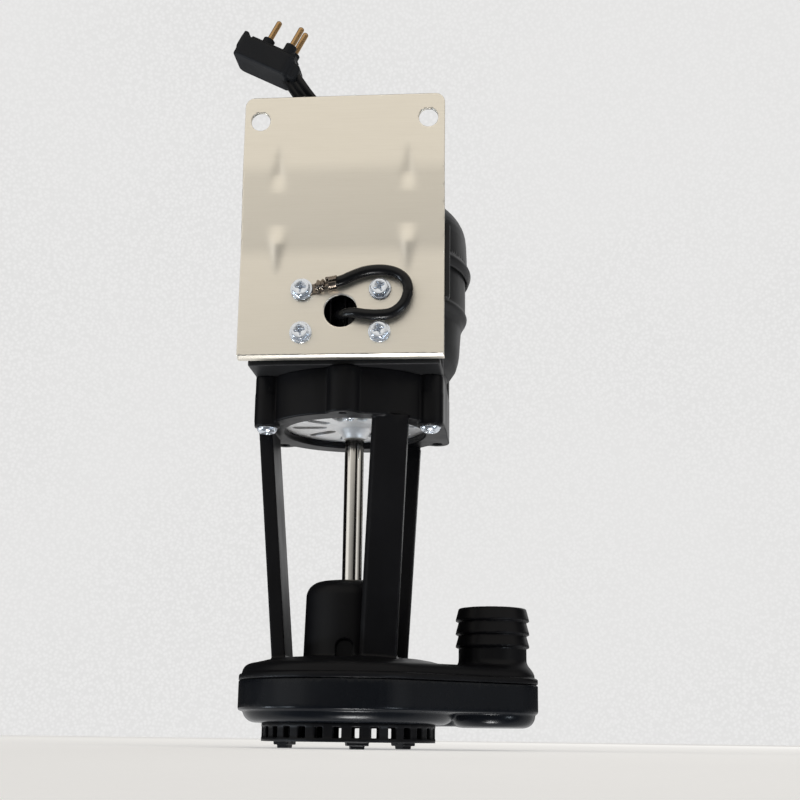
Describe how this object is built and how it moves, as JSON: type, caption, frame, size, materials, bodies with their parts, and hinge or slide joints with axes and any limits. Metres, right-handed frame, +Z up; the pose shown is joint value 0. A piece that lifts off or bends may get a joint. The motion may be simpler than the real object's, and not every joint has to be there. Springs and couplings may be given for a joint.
{
  "type": "pedestal sump pump",
  "caption": "Vertical pump: capped motor on a three-legged pedestal over a volute with an upright hose barb and a strainer foot, hung from a joggled steel bracket.",
  "frame": {"origin": "on the shaft axis, in the plane of the three feet", "axes": "+Z up along the shaft towards the motor, -Y towards the face of the mounting bracket, +X towards the outlet"},
  "size_m": [0.124, 0.1065, 0.2932],
  "materials": {
    "moulded_black": "satin moulded plastic",
    "casing_black": "semi-gloss moulded plastic",
    "cover_black": "satin moulded plastic",
    "seal_rubber": "matte rubber",
    "impeller_plastic": "natural moulded plastic",
    "polished_steel": "ground and polished",
    "shield_aluminium": "bright die-cast",
    "bearing_bronze": "sintered bronze",
    "laminated_iron": "stacked laminations",
    "winding_copper": "enamelled wire",
    "rotor_metal": "turned",
    "zinc_steel": "bright zinc plate",
    "brushed_stainless": "brushed across",
    "lead_black": "glossy soft plastic sheath",
    "plug_black": "matte soft plastic",
    "terminal_bronze": "tarnished",
    "pin_brass": "drawn brass"
  },
  "bodies": {
    "housing": {"strainer": "moulded_black", "lower_casing": "casing_black", "casing_seal": "seal_rubber", "frame": "moulded_black", "frame_outlet": "moulded_black", "lower_end_shield": "shield_aluminium", "lower_bearing": "bearing_bronze", "stator": "laminated_iron", "windings": "winding_copper", "upper_end_shield": "shield_aluminium", "upper_bearing": "bearing_bronze", "motor_bolts": "zinc_steel", "motor_housing": "cover_black", "motor_cap": "cover_black", "ring_screws": "zinc_steel", "shield_screw": "zinc_steel", "bracket": "brushed_stainless", "bracket_screws": "zinc_steel", "earth_lead": "lead_black", "ring_terminal": "terminal_bronze", "strain_relief": "lead_black", "power_cord": "lead_black", "plug_body": "plug_black", "plug_pins": "pin_brass"},
    "rotating": {"shaft": "polished_steel", "rotor": "rotor_metal", "fan": "moulded_black", "impeller": "impeller_plastic", "slinger": "seal_rubber", "thrust_washers": "impeller_plastic"}
  },
  "joints": [
    {"name": "shaft_spin", "type": "hinge", "parent": "housing", "child": "rotating", "pos_m": [0, 0, 0.1], "axis": [0, 0, 1], "continuous": true}
  ]
}
